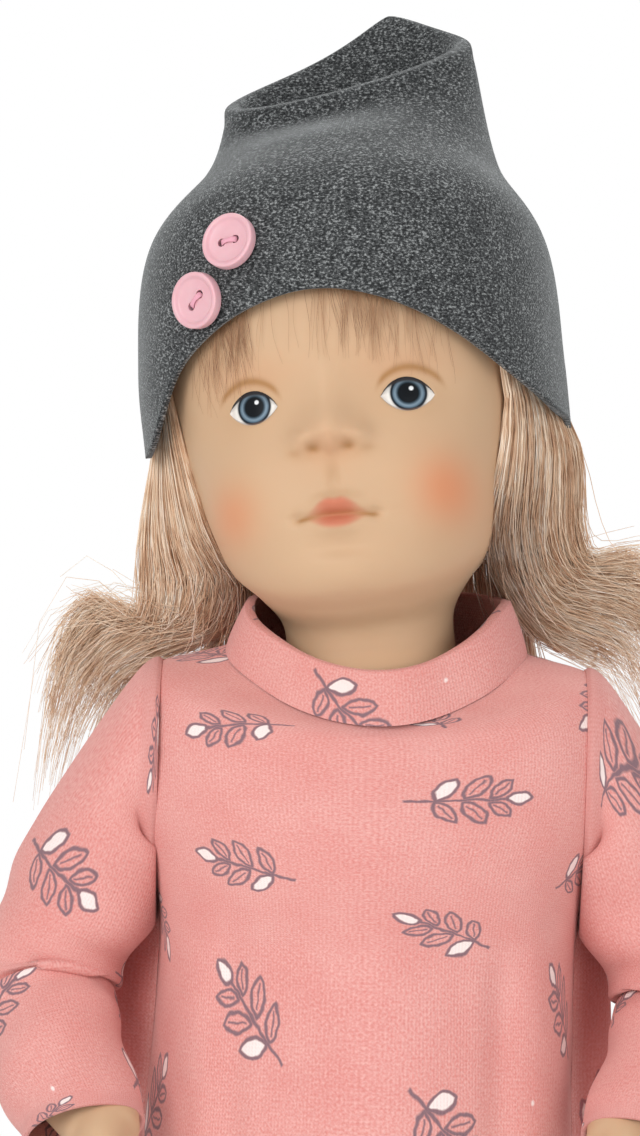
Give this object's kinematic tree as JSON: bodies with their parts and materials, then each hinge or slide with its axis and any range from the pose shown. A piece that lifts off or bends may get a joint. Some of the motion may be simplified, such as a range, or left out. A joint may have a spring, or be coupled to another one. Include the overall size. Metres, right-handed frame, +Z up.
{
  "type": "dressed vinyl doll",
  "caption": "Standing soft-vinyl play doll with a turning head, swinging arms and legs, a wig, a knitted hat with buttons, a printed sweatshirt, leggings and strap shoes.",
  "frame": {"origin": "on the floor, at the middle of the whole doll's reach from side to side and from front to back", "axes": "+Z up along the standing doll, -Y out of its face, +X to the doll's own left"},
  "size_m": [0.1734, 0.1215, 0.4896],
  "materials": {
    "vinyl": "matt skin-coloured soft vinyl",
    "hat_jersey": "grey heather jersey",
    "leggings_jersey": "grey heather jersey",
    "shirt_jersey": "coral pink printed jersey",
    "hair": "ash blonde wig fibre",
    "wig_net": "knitted wig cap",
    "button_plastic": "pink moulded plastic",
    "thread": "cotton thread",
    "tape": "white hook and loop tape",
    "shoe_leather": "smooth grey shoe leather",
    "sole_rubber": "pale rubber"
  },
  "bodies": {
    "torso": {"torso": "vinyl", "leggings_seat": "leggings_jersey", "leggings_waistband": "leggings_jersey", "shirt_front": "shirt_jersey", "shirt_back_left": "shirt_jersey", "shirt_back_right": "shirt_jersey", "closure_hook_tape": "tape", "closure_loop_tape": "tape", "neckband": "shirt_jersey"},
    "head": {"head": "vinyl", "wig_cap": "wig_net", "hair_fringe": "hair", "hair_left": "hair", "hair_right": "hair", "hair_back": "hair", "hat": "hat_jersey", "hat_button_upper": "button_plastic", "hat_button_lower": "button_plastic", "button_thread_upper": "thread", "button_thread_lower": "thread"},
    "arm_left": {"arm_left": "vinyl", "sleeve_left": "shirt_jersey"},
    "leg_left": {"leg_left": "vinyl", "leggings_leg_left": "leggings_jersey", "shoe_sole_left": "sole_rubber", "shoe_upper_left": "shoe_leather", "shoe_strap_left": "shoe_leather", "shoe_button_left": "button_plastic"},
    "arm_right": {"arm_right": "vinyl", "sleeve_right": "shirt_jersey"},
    "leg_right": {"leg_right": "vinyl", "leggings_leg_right": "leggings_jersey", "shoe_sole_right": "sole_rubber", "shoe_upper_right": "shoe_leather", "shoe_strap_right": "shoe_leather", "shoe_button_right": "button_plastic"}
  },
  "joints": [
    {"name": "head_turn", "type": "hinge", "parent": "torso", "child": "head", "pos_m": [0, -0.0118, 0.34], "axis": [-0.1035, 0.1392, 0.9848], "range_deg": [-60, 60], "deforming": ["hair_left", "hair_right", "hair_back", "neckband"]},
    {"name": "arm_left_swing", "type": "hinge", "parent": "torso", "child": "arm_left", "pos_m": [0.041, -0.0098, 0.316], "axis": [-1, 0, 0], "range_deg": [-3, 135]},
    {"name": "arm_right_swing", "type": "hinge", "parent": "torso", "child": "arm_right", "pos_m": [-0.041, -0.0098, 0.316], "axis": [-1, 0, 0], "range_deg": [-3, 135]},
    {"name": "leg_left_swing", "type": "hinge", "parent": "torso", "child": "leg_left", "pos_m": [0.015, -0.0098, 0.203], "axis": [-0.866, 0, 0.5], "range_deg": [-20, 90]},
    {"name": "leg_right_swing", "type": "hinge", "parent": "torso", "child": "leg_right", "pos_m": [-0.015, -0.0098, 0.203], "axis": [-0.866, 0, -0.5], "range_deg": [-20, 90]}
  ]
}
